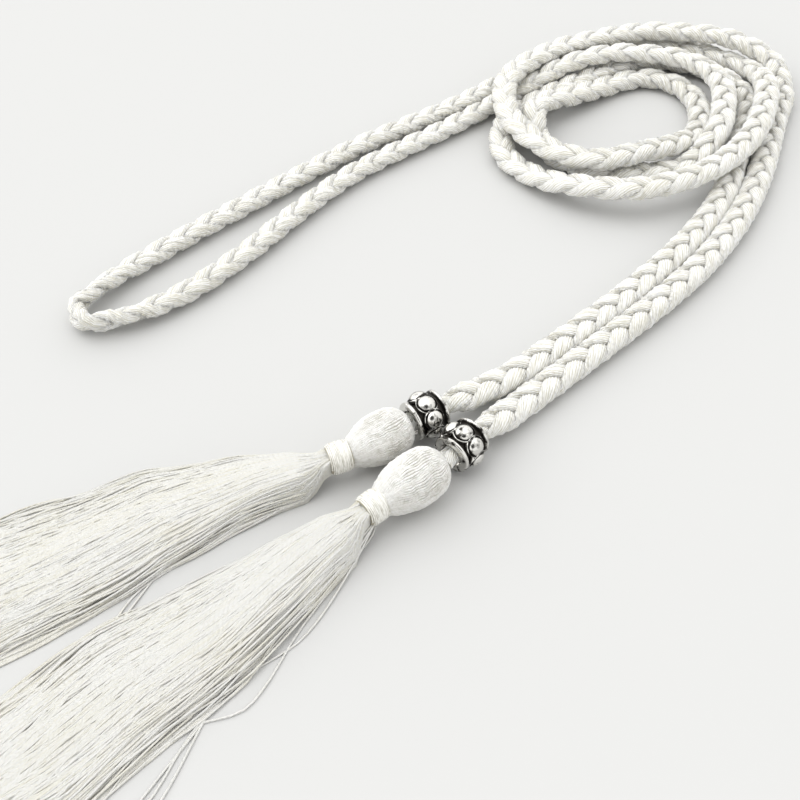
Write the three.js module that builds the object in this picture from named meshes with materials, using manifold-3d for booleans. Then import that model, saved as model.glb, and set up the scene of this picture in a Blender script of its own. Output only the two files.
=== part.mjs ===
// A braided belt laid down flat. One long flat braid of soft cord is folded in half and wound into a
// loose oval coil, and each of its two ends goes through a metal bead into a thread tassel.
// Millimetres, +Z up. The belt lies on the plane z = 0, its coil towards +X, its tassels towards -X.
import * as THREE from "three";
import { mergeVertices } from "three/addons/utils/BufferGeometryUtils.js";
import Module from "manifold-3d";

const wasm = await Module();
wasm.setup();

// The braid: a flat plait of three cords.
const BRAID_WIDTH = 7.6;
const BRAID_THICKNESS = 5.6;
const LOBE_LENGTH = 9.27; // along one side, from one cord's crown to the next
const NECK_DIAMETER = 5.4; // where it is drawn round to pass through a bead
const NECK_TAPER = 9; // length over which it goes from round to flat
const LIE_GAP = 0.3; // air under the braid, and between the piece ends that meet
const CROSSING_GAP = 0.4; // air between two runs of the braid where one lies over the other

// The beads: a cast barrel with a ring of round studs between two plain rims.
const BEAD_DIAMETER = 12.8;
const BEAD_LENGTH = 9;
const BEAD_BORE = 6.1;
const RIM_DIAMETER = 10.4;
const RIM_WIDTH = 0.9;
const CORE_DIAMETER = 9.6;
const STUDS = 7;
const STUD_DIAMETER = 5.3;
const STUD_COLLAR = 0.55; // width of the raised ring round each stud
const BEAD_SIDES = 16;
const STUD_SIDES = 10;

// The tassels: a knob wound over with thread, a bound neck and a skirt of loose threads.
const FRONT_KNOB_LENGTH = 17.4;
const FRONT_KNOB_DIAMETER = 13.8;
const REAR_KNOB_LENGTH = 15.6;
const REAR_KNOB_DIAMETER = 13.2;
const NECK_BINDING_DIAMETER = 8.2;
const NECK_BINDING_LENGTH = 5.8;
const NECK_BINDING_WALL = 1.2;
const NECK_HEIGHT = 6.9; // of the neck's axis above the floor
const SKIRT_LENGTH = 105;
const SKIRT_SPREAD = 20; // from the skirt's axis to its edge
const SKIRT_HEIGHT = 8.4;
const SKIRT_FLAT = 0.5; // how far the lowest threads are pressed flat on the floor
const SKIRT_LOCKS = 8;
const LOCK_SIDES = 6;
const LOCK_STEPS = 6;
const LOCK_STEP_GROWTH = 1.3; // the steps are short at the neck and grow towards the tips
const KNOB_SIDES = 16;

// The knob's outline from the braid to the neck, as shares of its length and of its half diameter.
const KNOB_OUTLINE = [
  { along: 0, radius: 0.46 },
  { along: 0.03, radius: 0.62 },
  { along: 0.12, radius: 0.84 },
  { along: 0.27, radius: 0.97 },
  { along: 0.45, radius: 1 },
  { along: 0.64, radius: 0.96 },
  { along: 0.82, radius: 0.84 },
  { along: 0.94, radius: 0.71 },
  { along: 1, radius: 0.62 },
];

// A skirt's two edges, as shares of its length and of its spread, seen along it from the neck.
const REAR_SKIRT_EDGES = [
  { along: 0, left: 0.2, right: -0.2 },
  { along: 0.03, left: 0.28, right: -0.36 },
  { along: 0.08, left: 0.38, right: -0.58 },
  { along: 0.18, left: 0.48, right: -0.82 },
  { along: 0.4, left: 0.76, right: -1 },
  { along: 0.6, left: 0.98, right: -0.96 },
  { along: 0.8, left: 1.1, right: -0.94 },
  { along: 1, left: 0.98, right: -0.76 },
];
const FRONT_SKIRT_EDGES = [
  { along: 0, left: 0.2, right: -0.2 },
  { along: 0.03, left: 0.35, right: -0.33 },
  { along: 0.08, left: 0.5, right: -0.44 },
  { along: 0.18, left: 0.6, right: -0.56 },
  { along: 0.4, left: 0.9, right: -0.74 },
  { along: 0.6, left: 0.82, right: -0.84 },
  { along: 0.8, left: 0.93, right: -0.84 },
  { along: 1, left: 0.82, right: -0.7 },
];

// The skirt's top from the neck to the tips, as a share of its height.
const SKIRT_TOP = [
  { along: 0, height: 1.2 },
  { along: 0.08, height: 1.1 },
  { along: 0.25, height: 0.86 },
  { along: 0.45, height: 0.66 },
  { along: 0.7, height: 0.5 },
  { along: 1, height: 0.3 },
];

// The two tassels. x and y are the bead's middle on the floor, headings are in degrees, and bare is
// the length of braid that shows between the bead and the knob.
const TASSELS = [
  {
    name: "front", x: -46, y: -53.5, heading: 183.6, bare: 3.6, studTurn: -5,
    knobLength: FRONT_KNOB_LENGTH, knobDiameter: FRONT_KNOB_DIAMETER, knobHeading: 173.7,
    skirtHeading: 175, skirtEdges: FRONT_SKIRT_EDGES,
  },
  {
    name: "rear", x: -45.5, y: -40.3, heading: 168.7, bare: 1.1, studTurn: -8,
    knobLength: REAR_KNOB_LENGTH, knobDiameter: REAR_KNOB_DIAMETER, knobHeading: 170.5,
    skirtHeading: 157.5, skirtEdges: REAR_SKIRT_EDGES,
  },
];

// Where the braid lies: each row is x, y on the floor, and its height as a share of one braid, which
// is 0 on the floor and 1 over another run. Both tails run from their bead to the coil.
const FRONT_TAIL = [
  [-37, -53.5, 0.4], [-26, -53.6, 0.1], [-12, -54, 0], [12, -55.1, 0], [36, -55.8, 0],
  [58, -55.1, 0], [80, -51.7, 0], [96, -47.5, 0], [112, -41.8, 0], [126, -35.9, 0], [137, -31, 0],
  [147, -27, 0],
];
const REAR_TAIL = [
  [-33, -42.8, 0.4], [-22, -44.6, 0.1], [-10, -45.9, 0], [12, -47.1, 0], [36, -47.6, 0],
  [60, -46.5, 0], [80, -43.5, 0], [95, -39.4, 0], [107, -34.2, 0], [119, -29.2, 0],
];
// The folded half, from the coil out along the lower leg, round the bight and back.
const FOLD = [
  [79, 46.1, 0], [62, 47, 0], [50, 48, 0], [36, 49.6, 0], [14, 51, 0], [-10, 48.5, 0],
  [-34, 44.5, 0], [-55, 42.8, 0], [-71, 44.2, 0], [-80, 47.2, 0], [-84.6, 49.2, 0],
  [-86.4, 53.5, 0], [-84.6, 57.8, 0], [-80, 59.8, 0], [-71, 62, 0], [-50, 63.2, 0],
  [-20, 62.8, 0], [11, 62, 0], [30, 60.8, 0], [48, 58.1, 0], [62, 55.8, 0], [76, 54.3, 0],
  [92, 53.4, 0],
];

// The coil: an oval wound from each tail to the folded half, with a station every sixteenth turn.
// A lap's first station is counted from the oval's -X end. reach is the distance from the middle as a
// share of the oval, and rise is the height as in the rows above.
const COIL = { x: 113, y: 7, halfLength: 60, halfWidth: 42, stations: 16 };
const FRONT_COIL = {
  first: 6,
  reach: [
    1.013, 1.01, 0.904, 0.848, 0.858, 0.889, 0.99, 1.05, 0.955, 0.862, 0.808, 0.77, 0.664, 0.582,
    0.529, 0.451, 0.398, 0.371, 0.368, 0.384, 0.409, 0.417, 0.436, 0.518, 0.748, 0.747, 0.723,
    0.718, 0.742, 0.79, 0.709, 0.598, 0.549, 0.519, 0.5, 0.504, 0.541, 0.641, 0.785, 0.985,
  ],
  rise: [
    0, 0.55, 1, 1, 1, 1, 1, 1, 1, 1, 1, 1, 0.95, 0.45, 0, 0, 0, 0, 0, 0, 0, 0, 0.1, 0.4, 0.8,
    0.15, 0, 0, 0, 0.05, 0.8, 1, 1, 1, 1, 1, 1, 1, 0.75, 0,
  ],
};
const REAR_COIL = {
  first: 5,
  reach: [
    0.807, 0.755, 0.685, 0.65, 0.63, 0.625, 0.621, 0.638, 0.751, 0.944, 0.987, 0.966, 1.004,
    1.062, 1.04, 0.97, 0.892, 0.864, 0.867, 0.829, 0.834, 0.887, 0.935, 1.031,
  ],
  rise: [0, 0, 0, 0, 0, 0, 0, 0, 0, 0, 0, 0.15, 0.75, 1, 1, 1, 1, 0.9, 0.2, 0, 0, 0, 0, 0],
};

// The braid's section, as shares of its half width and half thickness. A cord that comes to the top
// makes a full lobe on its side, and one that dives under makes a sunk one.
const LOBE_CROWN = { across: 0.66, up: 1 };
const LOBE_VALLEY = 0.8;
const LOBE_SUNK = 0.82;
const LOBE_LEAN = 0.5; // how far a lobe trails from the middle to the side, as a share of its length
const LEAN_START = 6; // rings over which the lean grows from the braid's square-cut ends
const TURNOVER = { share: 0.546, rings: 8 }; // where the braid turns over at the bight, and how slowly

const SATIN_CORD = { color: 0xe9e7de, roughness: 0.55, metalness: 0 };
const SATIN_THREAD = { color: 0xe4e3da, roughness: 0.42, metalness: 0 };
const LOOSE_THREAD = { color: 0xebe9e1, roughness: 0.6, metalness: 0 };
const AGED_SILVER = { color: 0xb9b9b6, roughness: 0.28, metalness: 1 };

// Turns a closed geometry into a solid that can be joined or cut.
function solidOf(geometry) {
  const bare = geometry.clone();
  bare.deleteAttribute("normal");
  bare.deleteAttribute("uv");
  const merged = mergeVertices(bare, 1e-4);
  return new wasm.Manifold(new wasm.Mesh({
    numProp: 3,
    vertProperties: new Float32Array(merged.getAttribute("position").array),
    triVerts: new Uint32Array(merged.index.array),
  }));
}

// Turns a solid back into a geometry.
function geometryOf(solid) {
  const mesh = solid.getMesh();
  const geometry = new THREE.BufferGeometry();
  geometry.setAttribute("position", new THREE.BufferAttribute(mesh.vertProperties, 3));
  geometry.setIndex(new THREE.BufferAttribute(mesh.triVerts, 1));
  geometry.computeVertexNormals();
  return geometry;
}

// Joins closed geometries into one.
function joined(geometries) {
  return geometryOf(geometries.map(solidOf).reduce((whole, next) => whole.add(next)));
}

// A named mesh with its own material.
function piece(name, geometry, finish) {
  const mesh = new THREE.Mesh(geometry, new THREE.MeshStandardMaterial(finish));
  mesh.name = name;
  return mesh;
}

// A closed bar of rings. rule is told each corner's share of the length, and its place across and up
// the section from -1 to 1, and answers with the point where that corner goes.
function shapedBar(sides, steps, rule) {
  const bar = new THREE.CylinderGeometry(1, 1, 1, sides, steps);
  const corners = bar.getAttribute("position");
  for (let i = 0; i < corners.count; i += 1) {
    const point = rule(corners.getY(i) + 0.5, corners.getZ(i), corners.getX(i));
    corners.setXYZ(i, point.x, point.y, point.z);
  }
  return bar;
}

// A body turned about its own X axis, from rows of distance along the axis and radius.
function turned(rows, sides) {
  const profile = rows.map((row) => new THREE.Vector2(row.radius, row.along));
  return new THREE.LatheGeometry(profile, sides).rotateZ(-Math.PI / 2);
}

// The value of one column of a table, read between its rows.
function readTable(table, along, column) {
  const next = Math.max(1, table.findIndex((row) => row.along >= along));
  const before = table[next - 1];
  const after = table[next];
  const share = (along - before.along) / (after.along - before.along);
  return THREE.MathUtils.lerp(before[column], after[column], share);
}

// A point of the braid's line, from its place on the floor and its height in braids.
function lyingPoint(x, y, rise) {
  const onFloor = LIE_GAP + BRAID_THICKNESS / 2;
  return new THREE.Vector3(x, y, onFloor + rise * (BRAID_THICKNESS + CROSSING_GAP));
}

// The stations of one stretch of the coil.
function coilPoints(lap) {
  return lap.reach.map((reach, i) => {
    const turn = (2 * Math.PI * (lap.first + i)) / COIL.stations;
    const x = COIL.x - COIL.halfLength * reach * Math.cos(turn);
    const y = COIL.y - COIL.halfWidth * reach * Math.sin(turn);
    return lyingPoint(x, y, lap.rise[i]);
  });
}

// The braid's straight line through a bead, from the knob's face to the bead's other face.
function beadPoints(tassel) {
  const heading = THREE.MathUtils.degToRad(tassel.heading);
  const tilt = THREE.MathUtils.degToRad(tassel.knobHeading - tassel.heading);
  const slant = (Math.abs(Math.sin(tilt)) * NECK_DIAMETER) / 2;
  const toKnob = BEAD_LENGTH / 2 + tassel.bare - LIE_GAP - slant;
  return [toKnob, BEAD_LENGTH / 2, 0, -BEAD_LENGTH / 2].map((along) => new THREE.Vector3(
    tassel.x + along * Math.cos(heading),
    tassel.y + along * Math.sin(heading),
    BEAD_DIAMETER / 2,
  ));
}

// The braid's whole line, from the front knob to the rear one.
function braidLine() {
  const rows = (list) => list.map(([x, y, rise]) => lyingPoint(x, y, rise));
  const [front, rear] = TASSELS;
  const line = new THREE.CatmullRomCurve3([
    ...beadPoints(front), ...rows(FRONT_TAIL), ...coilPoints(FRONT_COIL), ...rows(FOLD),
    ...coilPoints(REAR_COIL).reverse(), ...rows(REAR_TAIL).reverse(), ...beadPoints(rear).reverse(),
  ], false, "centripetal");
  line.arcLengthDivisions = 4000;
  return line;
}

// The braid as one body: rings swept back like chevrons, with a lobe on one side of each.
function braid() {
  const line = braidLine();
  const length = line.getLength();
  const steps = Math.round(length / (LOBE_LENGTH / 2));
  const necks = TASSELS.map((tassel) => BEAD_LENGTH + tassel.bare);
  const up = new THREE.Vector3(0, 0, 1);
  const flatness = (station) => THREE.MathUtils.smoothstep(
    Math.min(station - necks[0], length - station - necks[1]), 0, NECK_TAPER,
  );
  return shapedBar(8, steps, (share, across, rise) => {
    const ring = Math.round(share * steps);
    const sideways = Math.abs(across);
    const started = Math.min(1, ring / LEAN_START, (steps - ring) / LEAN_START);
    const way = THREE.MathUtils.clamp((TURNOVER.share * steps - ring) / TURNOVER.rings, -1, 1);
    const lean = LOBE_LEAN * LOBE_LENGTH * sideways * started * way;
    const station = THREE.MathUtils.clamp(share * length - lean, 0, length);
    const flat = flatness(station);
    const full = (ring % 2 === 0) === (across > 0) ? 1 : LOBE_SUNK;
    const middle = sideways < 0.1;
    const side = Math.abs(rise) < 0.1;
    const wide = THREE.MathUtils.lerp(across, Math.sign(across) * (side ? 1 : LOBE_CROWN.across), flat);
    const tall = THREE.MathUtils.lerp(rise, Math.sign(rise) * (middle ? LOBE_VALLEY : LOBE_CROWN.up), flat);
    const lobe = middle ? 1 : THREE.MathUtils.lerp(1, full, flat);
    const halfWidth = THREE.MathUtils.lerp(NECK_DIAMETER, BRAID_WIDTH, flat) / 2;
    const halfThickness = THREE.MathUtils.lerp(NECK_DIAMETER, BRAID_THICKNESS, flat) / 2;
    const ahead = line.getTangentAt(station / length);
    const aside = new THREE.Vector3().crossVectors(up, ahead).normalize();
    const above = new THREE.Vector3().crossVectors(ahead, aside);
    return line.getPointAt(station / length)
      .addScaledVector(aside, middle ? 0 : wide * halfWidth * lobe)
      .addScaledVector(above, side ? 0 : tall * halfThickness * lobe);
  });
}

// A bead about its own X axis.
function bead(studTurn) {
  const half = BEAD_LENGTH / 2;
  const hollow = RIM_WIDTH * 1.3;
  const barrel = turned([
    { along: -half, radius: BEAD_BORE / 2 },
    { along: -half, radius: RIM_DIAMETER / 2 },
    { along: -half + RIM_WIDTH, radius: RIM_DIAMETER / 2 },
    { along: -half + hollow, radius: CORE_DIAMETER / 2 },
    { along: half - hollow, radius: CORE_DIAMETER / 2 },
    { along: half - RIM_WIDTH, radius: RIM_DIAMETER / 2 },
    { along: half, radius: RIM_DIAMETER / 2 },
    { along: half, radius: BEAD_BORE / 2 },
    { along: -half, radius: BEAD_BORE / 2 },
  ], BEAD_SIDES);
  const groove = STUD_DIAMETER / 2 - STUD_COLLAR;
  const root = (BEAD_BORE + CORE_DIAMETER) / 4;
  const relief = (BEAD_DIAMETER - CORE_DIAMETER) / 2;
  const stud = turned([
    { along: root, radius: 0 },
    { along: root, radius: STUD_DIAMETER / 2 },
    { along: CORE_DIAMETER / 2 + relief * 0.45, radius: STUD_DIAMETER / 2 },
    { along: CORE_DIAMETER / 2 + relief * 0.2, radius: groove },
    { along: CORE_DIAMETER / 2 + relief * 0.72, radius: groove * 0.8 },
    { along: BEAD_DIAMETER / 2, radius: 0 },
  ], STUD_SIDES).rotateY(-Math.PI / 2);
  const studs = Array.from({ length: STUDS }, (_, i) => stud.clone().rotateX(
    THREE.MathUtils.degToRad(studTurn) + (2 * Math.PI * i) / STUDS,
  ));
  return joined([barrel, ...studs]);
}

// A knob along its own X axis, from its face at the braid to the neck.
function knob(length, diameter) {
  const rows = KNOB_OUTLINE.map((row) => ({
    along: row.along * length,
    radius: (row.radius * diameter) / 2,
  }));
  return turned([{ along: 0, radius: 0 }, ...rows, { along: length, radius: 0 }], KNOB_SIDES);
}

// The thread bound round the neck: a short swollen tube, open for the skirt's root.
function neckBinding() {
  const outer = NECK_BINDING_DIAMETER / 2;
  const inner = outer - NECK_BINDING_WALL;
  const end = outer - NECK_BINDING_WALL / 2;
  return turned([
    { along: 0, radius: inner },
    { along: 0, radius: end },
    { along: NECK_BINDING_LENGTH * 0.2, radius: outer },
    { along: NECK_BINDING_LENGTH * 0.8, radius: outer },
    { along: NECK_BINDING_LENGTH, radius: end },
    { along: NECK_BINDING_LENGTH, radius: inner },
    { along: 0, radius: inner },
  ], KNOB_SIDES);
}

// The root that the skirt's locks grow from, inside the neck binding.
function skirtRoot() {
  const radius = NECK_BINDING_DIAMETER / 2 - NECK_BINDING_WALL - LIE_GAP;
  return turned([
    { along: 0, radius: 0 },
    { along: 0, radius },
    { along: NECK_BINDING_LENGTH + 2 * LIE_GAP, radius },
    { along: NECK_BINDING_LENGTH + radius, radius: NECK_BINDING_DIAMETER / 2 },
    { along: NECK_BINDING_LENGTH + 2 * radius, radius: 0 },
  ], KNOB_SIDES).translate(0, 0, NECK_HEIGHT);
}

// One lock of a skirt. order counts the locks from the right edge to the left one.
function skirtLock(edges, order) {
  const place = order / (SKIRT_LOCKS - 1);
  const reach = SKIRT_LENGTH * (1 - 0.12 * Math.abs(Math.sin(2.3 * order + 0.4)));
  const crown = 1 - 0.1 * Math.abs(Math.sin(1.7 * order));
  const start = NECK_BINDING_LENGTH + LIE_GAP;
  return shapedBar(LOCK_SIDES, LOCK_STEPS, (share, across, up) => {
    const along = share ** LOCK_STEP_GROWTH * reach;
    const down = along / SKIRT_LENGTH;
    const left = readTable(edges, down, "left") * SKIRT_SPREAD;
    const right = readTable(edges, down, "right") * SKIRT_SPREAD;
    const taper = 1 - 0.55 * share ** 4;
    const halfWidth = (0.8 + (0.62 * (left - right)) / SKIRT_LOCKS) * taper;
    const middle = THREE.MathUtils.lerp(right + halfWidth, left - halfWidth, place);
    const top = readTable(SKIRT_TOP, down, "height") * SKIRT_HEIGHT * crown;
    const lift = (NECK_HEIGHT - NECK_BINDING_DIAMETER / 3) * Math.max(0, 1 - down / 0.12);
    const bottom = lift - SKIRT_FLAT;
    return new THREE.Vector3(
      start + along,
      middle + across * halfWidth,
      (top + bottom) / 2 + (up * (top - bottom)) / 2,
    );
  });
}

// A skirt along its own X axis: locks grown from one root, trimmed flat where they lie on the floor.
function skirt(edges) {
  const locks = Array.from({ length: SKIRT_LOCKS }, (_, order) => skirtLock(edges, order));
  const below = new THREE.BoxGeometry(4 * SKIRT_LENGTH, 4 * SKIRT_LENGTH, SKIRT_HEIGHT)
    .translate(0, 0, -SKIRT_HEIGHT / 2);
  return geometryOf(solidOf(joined([skirtRoot(), ...locks])).subtract(solidOf(below)));
}

// One end of the belt: the bead, and hung in line from it the knob, the neck and the skirt.
function tasselEnd(tassel) {
  const degrees = THREE.MathUtils.degToRad;
  const end = new THREE.Group();
  end.position.set(tassel.x, tassel.y, 0);
  end.rotation.z = degrees(tassel.heading);
  const ring = piece(tassel.name + "_bead", bead(tassel.studTurn), AGED_SILVER);
  ring.position.z = BEAD_DIAMETER / 2;
  const head = new THREE.Group();
  head.position.x = BEAD_LENGTH / 2 + tassel.bare;
  head.rotation.z = degrees(tassel.knobHeading - tassel.heading);
  const ball = piece(
    tassel.name + "_knob", knob(tassel.knobLength, tassel.knobDiameter), SATIN_THREAD,
  );
  ball.position.z = tassel.knobDiameter / 2;
  const tail = new THREE.Group();
  tail.rotation.z = degrees(tassel.skirtHeading - tassel.knobHeading);
  const slant = (Math.abs(Math.sin(tail.rotation.z)) * NECK_BINDING_DIAMETER) / 2;
  tail.position.x = tassel.knobLength + LIE_GAP + slant;
  const binding = piece(tassel.name + "_neck_binding", neckBinding(), SATIN_THREAD);
  binding.position.z = NECK_HEIGHT;
  tail.add(binding, piece(tassel.name + "_skirt", skirt(tassel.skirtEdges), LOOSE_THREAD));
  head.add(ball, tail);
  end.add(ring, head);
  return end;
}

const laid = new THREE.Group();
laid.add(piece("braid", braid(), SATIN_CORD), ...TASSELS.map(tasselEnd));

// The origin is on the floor under the middle of the belt's outline.
const outline = new THREE.Box3().setFromObject(laid, true);
const middle = outline.getCenter(new THREE.Vector3());
laid.position.set(-middle.x, -middle.y, -outline.min.z);
const belt = new THREE.Group();
belt.add(laid);

export default belt;
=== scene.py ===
"""A braided belt of ivory satin cord, folded in half and laid down in a loose coil.

The cord ends in two silver beads, and each bead in a tassel of loose twisted threads. The braid is
dressed as its three strands, each tassel as its wound knob, its bound neck and its separate threads.
Everything is in metres in the CAD model's frame. Sizes are named in millimetres and turned at the end.
"""

from __future__ import annotations

import logging
import math
from collections.abc import Callable, Sequence
from dataclasses import dataclass, field
from enum import Enum

import bpy
import numpy as np
from mathutils import Matrix, Vector


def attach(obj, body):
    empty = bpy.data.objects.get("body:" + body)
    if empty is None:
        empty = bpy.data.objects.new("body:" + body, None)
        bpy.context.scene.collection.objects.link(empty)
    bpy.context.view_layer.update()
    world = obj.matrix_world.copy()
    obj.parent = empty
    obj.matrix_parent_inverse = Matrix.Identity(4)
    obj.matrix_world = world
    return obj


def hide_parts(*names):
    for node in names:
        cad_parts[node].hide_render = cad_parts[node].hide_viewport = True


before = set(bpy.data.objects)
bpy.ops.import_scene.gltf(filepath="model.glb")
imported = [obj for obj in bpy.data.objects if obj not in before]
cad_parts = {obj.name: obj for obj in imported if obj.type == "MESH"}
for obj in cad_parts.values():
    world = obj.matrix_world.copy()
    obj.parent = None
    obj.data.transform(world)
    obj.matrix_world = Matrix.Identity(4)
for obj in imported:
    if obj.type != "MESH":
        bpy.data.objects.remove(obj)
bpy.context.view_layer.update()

LOG = logging.getLogger("belt")

MM = 0.001
BODY = "root"

# The CAD model is laid out in its own frame, then moved by this much to stand over the origin.
LAID_SHIFT = np.array([3.6624, -0.8860, 0.0])

# Sizes shared with the CAD model.
BRAID_THICKNESS = 5.6
LOBE_LENGTH = 9.27
NECK_DIAMETER = 5.4
NECK_TAPER = 9.0
LIE_GAP = 0.3
CROSSING_GAP = 0.4
BEAD_DIAMETER = 12.8
BEAD_LENGTH = 9.0
BEAD_BORE = 6.1
NECK_BINDING_DIAMETER = 8.2
NECK_BINDING_LENGTH = 5.8
NECK_HEIGHT = 6.9
SKIRT_LENGTH = 105.0
SKIRT_SPREAD = 20.0
SKIRT_HEIGHT = 8.4

# A knob's outline: share of its length from the braid, and share of its radius.
KNOB_OUTLINE = (
    (0.0, 0.46), (0.03, 0.62), (0.12, 0.84), (0.27, 0.97), (0.45, 1.0),
    (0.64, 0.96), (0.82, 0.84), (0.94, 0.71),
)

# A skirt's edges: share of its length from the neck, then left and right edge in spreads.
FRONT_SKIRT_EDGES = (
    (0.0, 0.2, -0.2), (0.03, 0.28, -0.33), (0.08, 0.38, -0.44), (0.18, 0.5, -0.56),
    (0.4, 0.74, -0.74), (0.6, 0.78, -0.84), (0.8, 0.93, -0.84), (1.0, 0.82, -0.7),
)
REAR_SKIRT_EDGES = (
    (0.0, 0.2, -0.2), (0.03, 0.25, -0.3), (0.08, 0.3, -0.46), (0.18, 0.34, -0.7),
    (0.4, 0.58, -0.98), (0.6, 0.86, -0.92), (0.8, 1.04, -0.88), (1.0, 0.98, -0.72),
)

# Threads that have left a skirt's edge and lie on the floor: along from the neck, and to the left.
FRONT_STRAYS = (
    ((4, 2.2), (20, 7.5), (33, 11.6), (47, 17.8), (53, 19), (63, 15), (74, 13.5)),
    ((15, 6.9), (34, 13.6), (50, 13), (66, 17.6), (80, 22)),
    ((22, 7.9), (42, 10.6), (64, 16.5), (77, 22.6), (88, 25)),
    ((30, 7.6), (52, 11.9), (75, 23.9), (84, 27)),
)
REAR_STRAYS = (
    ((5, -2), (15, 3.8), (37, 8.5), (56, 13.8), (68, 24), (78, 27)),
    ((8, -6), (22, -2), (35, 1.7), (49, 9.4), (65, 22), (76, 24)),
)

# A skirt's top: share of its length from the neck, and share of its height.
SKIRT_TOP = ((0.0, 1.2), (0.08, 1.1), (0.25, 0.86), (0.45, 0.66), (0.7, 0.5), (1.0, 0.3))

# The braid's stations on the floor: x, y, and how many braids it is raised by what it crosses.
FRONT_TAIL = (
    (-37, -53.5, 0.4), (-26, -53.6, 0.1), (-12, -54, 0), (12, -55.1, 0), (36, -55.8, 0),
    (58, -55.1, 0), (80, -51.7, 0), (96, -47.5, 0), (112, -41.8, 0), (126, -35.9, 0),
    (137, -31, 0), (147, -27, 0),
)
REAR_TAIL = (
    (-33, -42.8, 0.4), (-22, -44.6, 0.1), (-10, -45.9, 0), (12, -47.1, 0), (36, -47.6, 0),
    (60, -46.5, 0), (80, -43.5, 0), (95, -39.4, 0), (107, -34.2, 0), (119, -29.2, 0),
)
FOLD = (
    (79, 46.1, 0), (62, 47, 0), (50, 48, 0), (36, 49.6, 0), (14, 51, 0), (-10, 48.5, 0),
    (-34, 44.5, 0), (-55, 42.8, 0), (-71, 44.2, 0), (-80, 47.2, 0), (-84.6, 49.2, 0),
    (-86.4, 53.5, 0), (-84.6, 57.8, 0), (-80, 59.8, 0), (-71, 62, 0), (-50, 63.2, 0),
    (-20, 62.8, 0), (11, 62, 0), (30, 60.8, 0), (48, 58.1, 0), (62, 55.8, 0),
    (76, 54.3, 0), (92, 53.4, 0),
)


@dataclass(frozen=True)
class Lap:
    """One half of the belt in the coil: its first station, and its reach and rise at each."""

    first: int
    reach: tuple[float, ...]
    rise: tuple[float, ...]


FRONT_LAP = Lap(
    first=6,
    reach=(
        1.013, 1.01, 0.904, 0.848, 0.858, 0.889, 0.99, 1.05, 0.955, 0.862, 0.808, 0.77, 0.664,
        0.582, 0.529, 0.451, 0.398, 0.371, 0.368, 0.384, 0.409, 0.417, 0.436, 0.518, 0.748, 0.747,
        0.723, 0.718, 0.742, 0.79, 0.709, 0.598, 0.549, 0.519, 0.5, 0.504, 0.541, 0.641, 0.785, 0.985,
    ),
    rise=(
        0, 0.55, 1, 1, 1, 1, 1, 1, 1, 1, 1, 1, 0.95, 0.45, 0, 0, 0, 0, 0, 0, 0, 0, 0.1, 0.4, 0.8,
        0.15, 0, 0, 0, 0.05, 0.8, 1, 1, 1, 1, 1, 1, 1, 0.75, 0,
    ),
)
REAR_LAP = Lap(
    first=5,
    reach=(
        0.807, 0.755, 0.685, 0.65, 0.63, 0.625, 0.621, 0.638, 0.751, 0.944, 0.987, 0.966, 1.004,
        1.062, 1.04, 0.97, 0.892, 0.864, 0.867, 0.829, 0.834, 0.887, 0.935, 1.031,
    ),
    rise=(
        0, 0, 0, 0, 0, 0, 0, 0, 0, 0, 0, 0.15, 0.75, 1, 1, 1, 1, 0.9, 0.2, 0, 0, 0, 0, 0,
    ),
)
COIL_X, COIL_Y = 113.0, 7.0
COIL_HALF_LENGTH, COIL_HALF_WIDTH = 60.0, 42.0
COIL_STATIONS = 16


class End(Enum):
    """Which of the belt's two ends a piece belongs to. Front is the one nearer the camera."""

    FRONT = "front"
    REAR = "rear"


@dataclass(frozen=True)
class TasselPlace:
    """Where one end of the belt lies: the bead's middle, and how each piece after it is turned."""

    end: End
    x: float
    y: float
    heading: float
    bare: float
    stud_turn: float
    knob_length: float
    knob_diameter: float
    knob_heading: float
    skirt_heading: float
    skirt_edges: tuple[tuple[float, float, float], ...]
    strays: tuple[tuple[tuple[float, float], ...], ...]

    def bead_matrix(self) -> Matrix:
        """Return the bead's place in the laid frame, in millimetres."""
        place = Matrix.Translation((self.x, self.y, 0.0))
        return place @ Matrix.Rotation(math.radians(self.heading), 4, "Z")

    def head_matrix(self) -> Matrix:
        """Return the knob's place in the laid frame, in millimetres."""
        ahead = Matrix.Translation((BEAD_LENGTH / 2 + self.bare, 0.0, 0.0))
        turn = Matrix.Rotation(math.radians(self.knob_heading - self.heading), 4, "Z")
        return self.bead_matrix() @ ahead @ turn

    def tail_matrix(self) -> Matrix:
        """Return the neck's and skirt's place in the laid frame, in millimetres."""
        angle = math.radians(self.skirt_heading - self.knob_heading)
        slant = abs(math.sin(angle)) * NECK_BINDING_DIAMETER / 2
        ahead = Matrix.Translation((self.knob_length + LIE_GAP + slant, 0.0, 0.0))
        return self.head_matrix() @ ahead @ Matrix.Rotation(angle, 4, "Z")

    def bead_line(self) -> list[tuple[float, float, float]]:
        """Return the braid's points through the bead, from the knob's face to the far side."""
        heading = math.radians(self.heading)
        tilt = math.radians(self.knob_heading - self.heading)
        slant = abs(math.sin(tilt)) * NECK_DIAMETER / 2
        to_knob = BEAD_LENGTH / 2 + self.bare - LIE_GAP - slant
        return [
            (self.x + along * math.cos(heading), self.y + along * math.sin(heading), BEAD_DIAMETER / 2)
            for along in (to_knob, BEAD_LENGTH / 2, 0.0, -BEAD_LENGTH / 2)
        ]


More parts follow.
